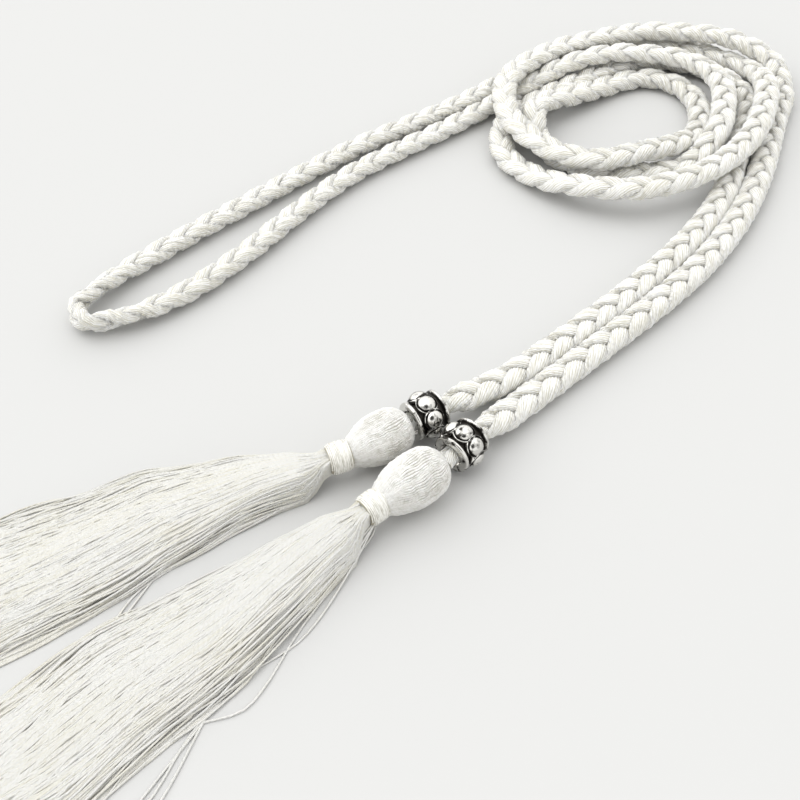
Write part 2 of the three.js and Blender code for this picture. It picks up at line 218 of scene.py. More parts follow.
FRONT_PLACE = TasselPlace(
    End.FRONT, x=-46, y=-53.5, heading=183.6, bare=3.6, stud_turn=-5, knob_length=17.4,
    knob_diameter=13.8, knob_heading=173.7, skirt_heading=175, skirt_edges=FRONT_SKIRT_EDGES,
    strays=FRONT_STRAYS,
)
REAR_PLACE = TasselPlace(
    End.REAR, x=-45.5, y=-40.3, heading=168.7, bare=1.1, stud_turn=-8, knob_length=15.6,
    knob_diameter=13.2, knob_heading=170.5, skirt_heading=157.5, skirt_edges=REAR_SKIRT_EDGES,
    strays=REAR_STRAYS,
)


def smooth_step(value: np.ndarray | float) -> np.ndarray | float:
    """Return value held between 0 and 1 and eased at both ends."""
    held = np.clip(value, 0.0, 1.0)
    return held * held * (3 - 2 * held)


def smooth_line(points: Sequence[Sequence[float]], per_span: int) -> np.ndarray:
    """Return a dense centripetal Catmull-Rom line through some points.

    Args:
        points: the points, all of one dimension.
        per_span: how many samples each span between two points gets.

    Returns:
        The line's points, one row each.
    """
    given = np.array(points, dtype=float)
    given = np.vstack([2 * given[0] - given[1], given, 2 * given[-1] - given[-2]])
    share = np.arange(per_span)[:, None] / per_span
    rows = []
    for p0, p1, p2, p3 in zip(given, given[1:], given[2:], given[3:]):
        gap_0, gap_1, gap_2 = (
            max(1e-4, math.sqrt(float(np.linalg.norm(b - a))))
            for a, b in ((p0, p1), (p1, p2), (p2, p3))
        )
        start = ((p1 - p0) / gap_0 - (p2 - p0) / (gap_0 + gap_1) + (p2 - p1) / gap_1) * gap_1
        stop = ((p2 - p1) / gap_1 - (p3 - p1) / (gap_1 + gap_2) + (p3 - p2) / gap_2) * gap_1
        square = -3 * p1 + 3 * p2 - 2 * start - stop
        cube = 2 * p1 - 2 * p2 + start + stop
        rows.append(p1 + start * share + square * share**2 + cube * share**3)
    return np.vstack([*rows, given[-2][None, :]])


def stations_of(points: np.ndarray) -> np.ndarray:
    """Return each point's distance along its line."""
    steps = np.linalg.norm(np.diff(points, axis=0), axis=1)
    return np.concatenate([[0.0], np.cumsum(steps)])


def respaced(points: np.ndarray, count: int) -> np.ndarray:
    """Return a line's points again, count of them at equal steps."""
    along = stations_of(points)
    wanted = np.linspace(0.0, along[-1], count)
    return np.stack([np.interp(wanted, along, column) for column in points.T], axis=1)


def unit(vectors: np.ndarray) -> np.ndarray:
    """Return rows of vectors, each one long."""
    return vectors / np.maximum(np.linalg.norm(vectors, axis=1, keepdims=True), 1e-9)


class NodeGraph:
    """A node tree while it is being written."""

    def __init__(self, tree: bpy.types.NodeTree) -> None:
        """Keep the tree that the nodes go into."""
        self.tree = tree

    def fill(self, node: bpy.types.Node, inputs: dict[str | int, object]) -> bpy.types.Node:
        """Set or link some inputs of a node.

        Args:
            node: the node.
            inputs: a value or an output socket for each named or numbered input.

        Returns:
            The node.
        """
        for name, value in inputs.items():
            socket = node.inputs[name]
            if isinstance(value, bpy.types.NodeSocket):
                self.tree.links.new(value, socket)
            else:
                socket.default_value = value
        return node

    def add(
        self, kind: str, inputs: dict[str | int, object] | None = None, **settings: object
    ) -> bpy.types.Node:
        """Add one node.

        Args:
            kind: the node's type name.
            inputs: a value or an output socket for each named or numbered input.
            settings: the node's own properties.

        Returns:
            The node.
        """
        node = self.tree.nodes.new(kind)
        for name, value in settings.items():
            setattr(node, name, value)
        return self.fill(node, inputs or {})

    def out(
        self, kind: str, inputs: dict[str | int, object] | None = None, **settings: object
    ) -> bpy.types.NodeSocket:
        """Add one node as add does, and return its first output that is in use."""
        return next(socket for socket in self.add(kind, inputs, **settings).outputs if socket.enabled)

    def math(self, operation: str, *values: object) -> bpy.types.NodeSocket:
        """Return the outcome of a Math node."""
        return self.out("ShaderNodeMath", dict(enumerate(values)), operation=operation)

    def times(self, first: object, second: object) -> bpy.types.NodeSocket:
        """Return the product of two numbers."""
        return self.math("MULTIPLY", first, second)

    def vector(self, operation: str, *values: object) -> bpy.types.NodeSocket:
        """Return the outcome of a Vector Math node that takes vectors."""
        return self.out("ShaderNodeVectorMath", dict(enumerate(values)), operation=operation)

    def scaled(self, vector: bpy.types.NodeSocket, factor: object) -> bpy.types.NodeSocket:
        """Return a vector times a number."""
        return self.out("ShaderNodeVectorMath", {0: vector, "Scale": factor}, operation="SCALE")

    def place(self, x: object = 0.0, y: object = 0.0, z: object = 0.0) -> bpy.types.NodeSocket:
        """Return a vector of three numbers."""
        return self.out("ShaderNodeCombineXYZ", {"X": x, "Y": y, "Z": z})

    def mixed(self, factor: object, first: object, second: object) -> bpy.types.NodeSocket:
        """Return a number between two numbers."""
        return self.out("ShaderNodeMix", {0: factor, 2: first, 3: second}, data_type="FLOAT")

    def noise(
        self, place: object, scale: float, detail: float = 2.0, seed: object = None
    ) -> bpy.types.NodeSocket:
        """Return a noise about 0.

        Args:
            place: where it is read.
            scale: how fine it is.
            detail: how many finer layers it has.
            seed: which of many alike it is, where that matters.

        Returns:
            A number from about -0.5 to 0.5.
        """
        inputs = {"Vector": place, "Scale": scale, "Detail": detail}
        if seed is not None:
            inputs["W"] = seed
        dimensions = "3D" if seed is None else "4D"
        return self.math("SUBTRACT", self.out("ShaderNodeTexNoise", inputs, noise_dimensions=dimensions), 0.5)


SOCKETS = {
    float: "NodeSocketFloat",
    int: "NodeSocketInt",
    bpy.types.Material: "NodeSocketMaterial",
    bpy.types.Object: "NodeSocketObject",
}


class ShapeTree(NodeGraph):
    """A geometry tree with named inputs, which ends in real faces of one material."""

    def __init__(self, name: str, values: dict[str, object]) -> None:
        """Make the tree.

        Args:
            name: the tree's name.
            values: what each named input is set to, the material last.
        """
        super().__init__(bpy.data.node_groups.new(name, "GeometryNodeTree"))
        self.values = values
        sockets = self.tree.interface
        sockets.new_socket("Geometry", in_out="INPUT", socket_type="NodeSocketGeometry")
        for label, value in values.items():
            sockets.new_socket(label, in_out="INPUT", socket_type=SOCKETS[type(value)])
        sockets.new_socket("Geometry", in_out="OUTPUT", socket_type="NodeSocketGeometry")
        self.source = self.add("NodeGroupInput").outputs

    def index(self) -> bpy.types.NodeSocket:
        """Return each point's number."""
        return self.out("GeometryNodeInputIndex")

    def here(self) -> bpy.types.NodeSocket:
        """Return where each point is."""
        return self.out("GeometryNodeInputPosition")

    def ahead(self) -> bpy.types.NodeSocket:
        """Return each curve point's direction along its curve."""
        return self.out("GeometryNodeInputTangent")

    def line(self) -> bpy.types.NodeSocket:
        """Return the base object's edges as curves."""
        return self.out("GeometryNodeMeshToCurve", {"Mesh": self.source["Geometry"]})

    def named(self, name: str, kind: str = "FLOAT") -> bpy.types.NodeSocket:
        """Return a named attribute of the geometry."""
        node = self.add("GeometryNodeInputNamedAttribute", {"Name": name}, data_type=kind)
        return node.outputs["Attribute"]

    def store(self, geometry: bpy.types.NodeSocket, name: str, value: object) -> bpy.types.NodeSocket:
        """Return the geometry with a number or a vector kept on its points under a name."""
        vector = isinstance(value, bpy.types.NodeSocket) and value.type == "VECTOR"
        node = self.add(
            "GeometryNodeStoreNamedAttribute",
            {"Geometry": geometry, "Name": name},
            data_type="FLOAT_VECTOR" if vector else "FLOAT",
            domain="POINT",
        )
        holder = next(
            number for number, socket in enumerate(node.inputs) if socket.name == "Value" and socket.enabled
        )
        return self.fill(node, {holder: value}).outputs[0]

    def moved(self, geometry: bpy.types.NodeSocket, offset: object) -> bpy.types.NodeSocket:
        """Return the geometry with each point moved by an offset."""
        return self.out("GeometryNodeSetPosition", {"Geometry": geometry, "Offset": offset})

    def placed(self, geometry: bpy.types.NodeSocket, position: object) -> bpy.types.NodeSocket:
        """Return the geometry with each point put at a position."""
        return self.out("GeometryNodeSetPosition", {"Geometry": geometry, "Position": position})

    def joined(self, parts: Sequence[bpy.types.NodeSocket]) -> bpy.types.NodeSocket:
        """Return some geometries as one."""
        node = self.add("GeometryNodeJoinGeometry")
        for part in parts:
            self.tree.links.new(part, node.inputs[0])
        return node.outputs[0]

    def shape_of(self, label: str) -> bpy.types.NodeSocket:
        """Return the mesh of the object that a named input holds."""
        return self.add("GeometryNodeObjectInfo", {"Object": self.source[label]}).outputs["Geometry"]

    def spun(self, angle: bpy.types.NodeSocket) -> bpy.types.NodeSocket:
        """Return a turn about the X axis."""
        return self.out("FunctionNodeEulerToRotation", {0: self.place(x=angle)})

    def swept(
        self, line: bpy.types.NodeSocket, section: bpy.types.NodeSocket, scale: object = 1.0
    ) -> bpy.types.NodeSocket:
        """Return a closed tube along some curves, its section's size times scale."""
        inputs = {"Curve": line, "Profile Curve": section, "Scale": scale, "Fill Caps": True}
        return self.out("GeometryNodeCurveToMesh", inputs)

    def thread(self, line: bpy.types.NodeSocket, radius: object, sides: object) -> bpy.types.NodeSocket:
        """Sweep round threads along some curves.

        Args:
            line: the curves.
            radius: the threads' radius.
            sides: how many sides each thread has.

        Returns:
            The threads, with the attributes thread, around and crest that a thread finish reads.
        """
        line = self.store(line, "thread", self.ahead())
        section = self.out("GeometryNodeCurvePrimitiveCircle", {"Resolution": sides, "Radius": radius})
        section = self.store(section, "around", self.math("DIVIDE", self.index(), sides))
        return self.store(self.swept(line, section), "crest", 1.0)

    def close(self, geometry: bpy.types.NodeSocket) -> None:
        """End the tree: real faces, smooth shading and the material."""
        real = self.out("GeometryNodeRealizeInstances", {"Geometry": geometry})
        smooth = self.out("GeometryNodeSetShadeSmooth", {"Geometry": real})
        done = self.out("GeometryNodeSetMaterial", {"Geometry": smooth, "Material": self.source["Material"]})
        self.add("NodeGroupOutput", {"Geometry": done})

    def run(self, base: bpy.types.Object) -> bpy.types.Object:
        """Shape the base object, and keep the outcome as its plain mesh.

        Args:
            base: the object that the tree starts from.

        Returns:
            The same object, with no modifier.
        """
        modifier = base.modifiers.new("shape", "NODES")
        modifier.node_group = self.tree
        for item in self.tree.interface.items_tree:
            if item.in_out == "INPUT" and item.name in self.values:
                modifier[item.identifier] = self.values[item.name]
        graph = bpy.context.evaluated_depsgraph_get()
        mesh = bpy.data.meshes.new_from_object(base.evaluated_get(graph), depsgraph=graph)
        base.modifiers.remove(modifier)
        before = base.data
        base.data = mesh
        bpy.data.meshes.remove(before)
        mesh.name = base.name
        return base

def add_object(name: str, points: np.ndarray, edges: Sequence = (), faces: Sequence = ()) -> bpy.types.Object:
    """Add a mesh object to the scene.

    Args:
        name: the object's name.
        points: its vertices, one row each.
        edges: pairs of vertex numbers, where it has no faces.
        faces: rows of vertex numbers.

    Returns:
        The object.
    """
    mesh = bpy.data.meshes.new(name)
    mesh.from_pydata([tuple(map(float, row)) for row in points], list(edges), list(faces))
    thing = bpy.data.objects.new(name, mesh)
    bpy.context.scene.collection.objects.link(thing)
    return thing


def corners_of(thing: bpy.types.Object) -> np.ndarray:
    """Return where an object's vertices are, one row each."""
    flat = np.empty(3 * len(thing.data.vertices), dtype=np.float32)
    thing.data.vertices.foreach_get("co", flat)
    return flat.reshape(-1, 3)


def keep_number(thing: bpy.types.Object, name: str, values: np.ndarray) -> None:
    """Keep one number for each vertex under a name, over any that was there."""
    layers = thing.data.attributes
    layer = layers.get(name) or layers.new(name, "FLOAT", "POINT")
    layer.data.foreach_set("value", np.asarray(values, dtype=np.float32).ravel())


def keep_vector(thing: bpy.types.Object, name: str, values: np.ndarray) -> None:
    """Keep one vector for each vertex under a name."""
    layer = thing.data.attributes.new(name, "FLOAT_VECTOR", "POINT")
    layer.data.foreach_set("vector", np.asarray(values, dtype=np.float32).ravel())


def keep_core(thing: bpy.types.Object) -> None:
    """Keep the attributes that a thread finish reads on a plain core that threads lie over, painted in shade
    as seen between them.
    """
    count = len(thing.data.vertices)
    # A crest of 0 and a value of 0.6 paint the core dark: painted shade between the threads that cover it.
    for label, value in (("station", 0.0), ("around", 0.0), ("crest", 0.0), ("tint", 0.6)):
        keep_number(thing, label, np.full(count, value))
    keep_vector(thing, "thread", np.tile((1.0, 0.0, 0.0), (count, 1)))


def linked(count: int) -> list[tuple[int, int]]:
    """Return the edges of a line through some points in order."""
    return [(number, number + 1) for number in range(count - 1)]


def declare(piece: bpy.types.Object, node: str) -> bpy.types.Object:
    """Say what a finished piece rides on, and hide the CAD node that it dresses.

    Args:
        piece: the finished piece.
        node: the CAD node that it stands in for.

    Returns:
        The same piece.
    """
    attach(piece, BODY)
    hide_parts(node)
    return piece


def settle(thing: bpy.types.Object, place: Matrix | None = None) -> bpy.types.Object:
    """Move an object's mesh from millimetres in the laid frame to metres in the shared one.

    Args:
        thing: the object, which stays at the origin.
        place: its place in the laid frame, in millimetres, if its mesh isn't there yet.

    Returns:
        The same object.
    """
    to_metres = Matrix.Scale(MM, 4) @ Matrix.Translation(Vector(LAID_SHIFT))
    thing.data.transform(to_metres @ (place or Matrix.Identity(4)))
    return thing


def revolved(name: str, rows: Sequence[tuple[float, float]], sides: int) -> bpy.types.Object:
    """Turn rows of distance along X and radius into a closed solid about the X axis.

    Args:
        name: the object's name.
        rows: along and radius, with a radius of 0 at both ends or the first row again at the end.
        sides: how many sides the solid has round its axis.

    Returns:
        The object, in millimetres.
    """
    points: list[tuple[float, float, float]] = []
    rings: list[list[int]] = []
    ring_shaped = rows[0] == rows[-1]
    for along, radius in rows[:-1] if ring_shaped else rows:
        if radius < 1e-6:
            rings.append([len(points)] * sides)
            points.append((along, 0.0, 0.0))
            continue
        rings.append(list(range(len(points), len(points) + sides)))
        for side in range(sides):
            angle = 2 * math.pi * side / sides
            points.append((along, radius * math.cos(angle), radius * math.sin(angle)))
    if ring_shaped:
        rings.append(rings[0])
    faces = []
    for ring, after in zip(rings, rings[1:]):
        for side in range(sides):
            beyond = (side + 1) % sides
            corners = [ring[side], after[side], after[beyond], ring[beyond]]
            faces.append(list(dict.fromkeys(corners)))
    return add_object(name, np.array(points), faces=faces)


def rounded_rows(rows: Sequence[tuple[float, float]], radius: float, steps: int) -> list[tuple[float, float]]:
    """Round the inner corners of a profile.

    Args:
        rows: the profile's corners, whose first and last stay sharp.
        radius: how far from each corner its rounding starts.
        steps: how many points each rounded corner gets.

    Returns:
        The profile with rounded corners.
    """
    out = [rows[0]]
    for before, corner, after in zip(rows, rows[1:], rows[2:]):
        here = np.array(corner)
        to_before, to_after = np.array(before) - here, np.array(after) - here
        cut = min(radius, 0.45 * float(np.linalg.norm(to_before)), 0.45 * float(np.linalg.norm(to_after)))
        start = here + to_before / np.linalg.norm(to_before) * cut
        stop = here + to_after / np.linalg.norm(to_after) * cut
        for step in range(steps):
            share = step / (steps - 1)
            point = (1 - share) ** 2 * start + 2 * share * (1 - share) * here + share**2 * stop
            out.append((float(point[0]), float(point[1])))
    return [*out, rows[-1]]


class ThreadEffect:
    """The node group that every twisted thread shares: how its plies rise, and the shade painted into the
    grooves between them.
    """

    NAME = "Thread Plies"

    @classmethod
    def group(cls) -> bpy.types.NodeTree:
        """Return the group, made when it is first asked for."""
        if cls.NAME in bpy.data.node_groups:
            return bpy.data.node_groups[cls.NAME]
        graph = NodeGraph(bpy.data.node_groups.new(cls.NAME, "ShaderNodeTree"))
        sockets = graph.tree.interface
        for label in ("Along", "Around", "Pitch", "Turns", "Fineness"):
            sockets.new_socket(label, in_out="INPUT", socket_type="NodeSocketFloat")
        for label in ("Height", "Groove", "Fibre"):
            sockets.new_socket(label, in_out="OUTPUT", socket_type="NodeSocketFloat")
        source = graph.add("NodeGroupInput").outputs
        along = graph.math("DIVIDE", source["Along"], source["Pitch"])
        twist = graph.math("ADD", along, graph.times(source["Around"], source["Turns"]))
        height = graph.math("ABSOLUTE", graph.math("SINE", graph.times(twist, math.pi)))
        # Groove: painted shade, darkest between the plies.
        groove = graph.math("POWER", graph.math("SUBTRACT", 1.0, height), 2.0)
        angle = graph.times(source["Around"], 2 * math.pi)
        fibre = graph.noise(graph.place(
            x=graph.times(source["Along"], 0.3),
            y=graph.times(graph.math("COSINE", angle), source["Fineness"]),
            z=graph.times(graph.math("SINE", angle), source["Fineness"]),
        ), 1.0)
        uneven = graph.math("MULTIPLY_ADD", fibre, 2.0, height)
        graph.add("NodeGroupOutput", {"Height": uneven, "Groove": groove, "Fibre": fibre})
        return graph.tree


class FinishGraph(NodeGraph):
    """A material's node tree while it is being written."""

    def attribute(self, name: str, output: str = "Fac") -> bpy.types.NodeSocket:
        """Return a named attribute of the surface."""
        return self.add("ShaderNodeAttribute", attribute_name=name).outputs[output]

    def patches(self, scale: float) -> bpy.types.NodeSocket:
        """Return a noise about 0 over the surface."""
        return self.noise(self.add("ShaderNodeTexCoord").outputs["Object"], scale, 3.0)

    def blended(
        self, factor: bpy.types.NodeSocket, first: tuple[float, ...], second: tuple[float, ...]
    ) -> bpy.types.NodeSocket:
        """Return a colour between two colours."""
        return self.out("ShaderNodeMix", {0: factor, 6: (*first, 1.0), 7: (*second, 1.0)}, data_type="RGBA")

    def bumped(self, height: bpy.types.NodeSocket, strength: float, distance: float) -> bpy.types.NodeSocket:
        """Return the surface's normal, tilted by a height."""
        inputs = {"Strength": strength, "Distance": distance, "Height": height}
        return self.out("ShaderNodeBump", inputs)


@dataclass(frozen=True)
class Finish:
    """What a surface is made of. A subclass says how it looks in shade."""

    name: str

    def shade(self, graph: FinishGraph) -> dict[str, object]:
        """Return a value or an output socket for each input of the shader that isn't left as it is."""
        raise NotImplementedError

    def material(self) -> bpy.types.Material:
        """Return the finish as a material, made when it is first asked for."""
        if self.name in bpy.data.materials:
            return bpy.data.materials[self.name]
        made = bpy.data.materials.new(self.name)
        made.use_nodes = True
        graph = FinishGraph(made.node_tree)
        graph.fill(made.node_tree.nodes["Principled BSDF"], self.shade(graph))
        return made


@dataclass(frozen=True)
class ThreadFinish(Finish):
    """Ivory rayon or cotton thread: its colours, its plies and its shine, with shade painted into its valleys
    and grooves.
    """

    lit: tuple[float, float, float]
    painted_shade_and_tone: tuple[float, float, float]
    roughness: float
    sheen: float
    pitch: float
    turns: float
    relief: float
    groove_shade: float
    fineness: float
    fibre_shade: float
    valley_shade: float = 0.8
    shade_and_tone_share: float = 0.35
    patch_shade: float = 0.5
    patch_scale: float = 90.0
    ply_height: float = 0.2
    glow: float = 0.0
    glow_depth: float = 1.5
    glow_colour: tuple[float, float, float] = (1.0, 0.96, 0.86)

    def shade(self, graph: FinishGraph) -> dict[str, object]:
        """Write the finish's nodes.

        Args:
            graph: the material's node tree.

        Returns:
            The shader's inputs. They read the attributes station, around, crest and thread, and the one that
            holds painted shade and tone.
        """
        plies = graph.add("ShaderNodeGroup", node_tree=ThreadEffect.group())
        graph.fill(plies, {
            "Along": graph.attribute("station"), "Around": graph.attribute("around"),
            "Pitch": self.pitch, "Turns": self.turns, "Fineness": self.fineness,
        })
        # Painted shade: the colour runs from lit towards the darker second colour by a sum that darkens the
        # valleys between threads, the ply grooves, plain cores and threads lying under others. Fibre noise,
        # random values per thread and patches add real tone.
        valley = graph.math("SUBTRACT", 1.0, graph.attribute("crest"))
        shade = graph.times(valley, self.valley_shade)
        for source, weight in (
            (plies.outputs["Groove"], self.groove_shade),
            (graph.attribute("tint"), self.shade_and_tone_share),
            (plies.outputs["Fibre"], self.fibre_shade),
            (graph.patches(self.patch_scale), self.patch_shade),
        ):
            shade = graph.math("MULTIPLY_ADD", source, weight, shade)
        held = graph.out("ShaderNodeClamp", {"Value": shade})
        return {
            "Base Color": graph.blended(held, self.lit, self.painted_shade_and_tone),
            "Normal": graph.bumped(plies.outputs["Height"], self.relief, self.ply_height * MM),
            "Tangent": graph.attribute("thread", "Vector"),
            "Anisotropic": 0.6,
            "Anisotropic Rotation": 0.25,
            "Roughness": self.roughness,
            "Sheen Weight": self.sheen,
            "Sheen Roughness": 0.4,
            "Subsurface Weight": self.glow,
            "Subsurface Radius": self.glow_colour,
            "Subsurface Scale": self.glow_depth * MM,
        }


@dataclass(frozen=True)
class SilverFinish(Finish):
    """Cast silver, bright where it is rubbed, dark with patina where it is sunk, and dark in noise blotches
    that are painted reflections of dark surroundings.
    """

    name: str = "Aged silver"
    bright: tuple[float, float, float] = (0.66, 0.65, 0.62)
    dark: tuple[float, float, float] = (0.035, 0.032, 0.028)
    bright_roughness: float = 0.15
    dark_roughness: float = 0.45
    reflection_blotches: float = 2.2
    blotch_scale: float = 520.0
    dark_from: float = 0.06
    dark_to: float = 0.34
    pitting: float = 0.25
    pit_depth: float = 0.1

    def shade(self, graph: FinishGraph) -> dict[str, object]:
        """Write the finish's nodes, which read the attribute sunk, and return the shader's inputs."""
        # Painted reflection: a noise adds dark blotches on top of the patina in the hollows; the same noise
        # also bumps the surface as pitting.
        reflection_blotches = graph.patches(self.blotch_scale)
        patina_and_reflection = graph.math("MULTIPLY_ADD", reflection_blotches, self.reflection_blotches, graph.attribute("sunk"))
        limits = {1: self.dark_from, 2: self.dark_to, 3: 0.0, 4: 1.0}
        held = graph.out("ShaderNodeMapRange", {"Value": patina_and_reflection, **limits})
        return {
            "Metallic": 1.0,
            "Base Color": graph.blended(held, self.bright, self.dark),
            "Roughness": graph.mixed(held, self.bright_roughness, self.dark_roughness),
            "Normal": graph.bumped(reflection_blotches, self.pitting, self.pit_depth * MM),
        }


@dataclass(frozen=True)
class FloorFinish(Finish):
    """The matt near-white surface that the belt lies on."""

    name: str = "Pale floor"
    colour: tuple[float, float, float] = (0.57, 0.57, 0.565)

    def shade(self, graph: FinishGraph) -> dict[str, object]:
        """Return the shader's inputs, all of them plain values."""
        return {"Base Color": (*self.colour, 1.0), "Roughness": 0.9, "Specular IOR Level": 0.1}


SATIN_CORD = ThreadFinish(
    "Ivory satin cord", lit=(0.96, 0.955, 0.935), painted_shade_and_tone=(0.62, 0.6, 0.51), roughness=0.34, sheen=0.15,
    pitch=1.3, turns=18.0, relief=0.7, groove_shade=0.12, fineness=5.5, fibre_shade=2.6, glow=0.35,
)
SATIN_THREAD = ThreadFinish(
    "Ivory satin thread", lit=(0.9, 0.89, 0.86), painted_shade_and_tone=(0.5, 0.475, 0.4), roughness=0.34, sheen=0.1,
    pitch=0.9, turns=1.0, relief=0.3, groove_shade=0.15, fineness=0.5, fibre_shade=0.7, glow=0.3,
)
SILKY_THREAD = ThreadFinish(
    "Ivory silky thread", lit=(0.9, 0.89, 0.85), painted_shade_and_tone=(0.36, 0.335, 0.26), roughness=0.2, sheen=0.0,
    pitch=2.5, turns=1.0, relief=0.3, groove_shade=0.15, fineness=0.5, fibre_shade=1.6,
)
LOOSE_THREAD = ThreadFinish(
    "Ivory loose thread", lit=(0.7, 0.695, 0.675), painted_shade_and_tone=(0.66, 0.63, 0.5), roughness=0.45, sheen=0.1,
    pitch=1.25, turns=1.0, relief=0.5, groove_shade=0.25, fineness=0.5, fibre_shade=0.6,
)
AGED_SILVER = SilverFinish()


@dataclass(frozen=True)
class Studio:
    """The camera at the photo's angle, the pale floor and the soft light."""

    camera_place: tuple[float, float, float] = (-167.0, -153.0, 196.0)
    looks_down: float = 48.0
    turned: float = -45.0
    lens: float = 45.0
    sensor_width: float = 36.0
    floor_side: float = 4000.0
    bright_side: tuple[float, float, float] = (-0.3, 0.5, 0.8)
    dimmest: float = 1.15
    brightest: float = 1.78
    dimmest_from: float = -0.4
    brightest_from: float = 0.9
    dark_side: tuple[float, float, float] = (-0.5, -0.44, 0.74)
    dark_patch_from: float = 0.86
    dark_patch_to: float = 0.94
    dark_patch_share: float = 0.04
    window_angle: float = 65.0
    window_power: float = 0.62

    def camera(self) -> bpy.types.Object:
        """Add the camera."""
        data = bpy.data.cameras.new("camera")
        data.lens = self.lens
        data.sensor_width = self.sensor_width
        data.clip_start, data.clip_end = 0.005, 20.0
        eye = bpy.data.objects.new("camera", data)
        eye.location = Vector((np.array(self.camera_place) + LAID_SHIFT) * MM)
        eye.rotation_euler = (math.radians(90 - self.looks_down), 0.0, math.radians(self.turned))
        bpy.context.scene.collection.objects.link(eye)
        bpy.context.scene.camera = eye
        return eye

    def floor(self) -> bpy.types.Object:
        """Add the floor."""
        half = self.floor_side / 2 * MM
        corners = np.array([(-half, -half, 0), (half, -half, 0), (half, half, 0), (-half, half, 0)])
        ground = add_object("floor", corners, faces=[(0, 1, 2, 3)])
        ground.data.materials.append(FloorFinish().material())
        return ground

    def surroundings(self) -> bpy.types.World:
        """Add the pale surroundings, brighter on one side and dark where the silver would mirror the lens."""
        world = bpy.data.worlds.new("studio")
        world.use_nodes = True
        graph = NodeGraph(world.node_tree)
        direction = graph.add("ShaderNodeNewGeometry").outputs["Position"]

        def between(side: tuple[float, float, float], *limits: float) -> bpy.types.NodeSocket:
            """Return a strength that runs between two, by how near a direction is to a side."""
            facing = graph.vector("DOT_PRODUCT", direction, tuple(Vector(side).normalized()))
            return graph.out("ShaderNodeMapRange", {"Value": facing, **dict(enumerate(limits, 1))})

        glow = between(
            self.bright_side, self.dimmest_from, self.brightest_from, self.dimmest, self.brightest
        )
        open_sky = between(
            self.dark_side, self.dark_patch_from, self.dark_patch_to, 1.0, self.dark_patch_share
        )
        graph.fill(world.node_tree.nodes["Background"], {
            "Color": (1.0, 1.0, 0.99, 1.0), "Strength": graph.times(glow, open_sky),
        })
        bpy.context.scene.world = world
        return world

    def window(self) -> bpy.types.Object:
        """Add the soft light from the upper left."""
        data = bpy.data.lights.new("window light", "SUN")
        data.angle = math.radians(self.window_angle)
        data.energy = self.window_power
        lamp = bpy.data.objects.new("window light", data)
        lamp.location = self.bright_side
        lamp.rotation_euler = (-Vector(self.bright_side)).to_track_quat("-Z", "Y").to_euler()
        bpy.context.scene.collection.objects.link(lamp)
        return lamp


@dataclass(frozen=True)
class LaidLine:
    """The middle line of the braid, from the front knob to the rear one, in the laid frame."""

    step: float = 2.05

    @staticmethod
    def lap_rows(lap: Lap) -> list[tuple[float, float, float]]:
        """Return the stations of one half of the belt in the coil."""
        rows = []
        for index, (reach, rise) in enumerate(zip(lap.reach, lap.rise)):
            turn = 2 * math.pi * (lap.first + index) / COIL_STATIONS
            x = COIL_X - COIL_HALF_LENGTH * reach * math.cos(turn)
            y = COIL_Y - COIL_HALF_WIDTH * reach * math.sin(turn)
            rows.append((x, y, rise))
        return rows

    def points(self) -> np.ndarray:
        """Return the line's points at equal steps, in millimetres."""
        rows = [
            *FRONT_TAIL, *self.lap_rows(FRONT_LAP), *FOLD,
            *reversed(self.lap_rows(REAR_LAP)), *reversed(REAR_TAIL),
        ]
        on_floor = LIE_GAP + BRAID_THICKNESS / 2
        lying = [(x, y, on_floor + rise * (BRAID_THICKNESS + CROSSING_GAP)) for x, y, rise in rows]
        route = [*FRONT_PLACE.bead_line(), *lying, *reversed(REAR_PLACE.bead_line())]
        dense = smooth_line(route, 40)
        count = round(float(stations_of(dense)[-1]) / self.step) + 1
        return respaced(dense, count)


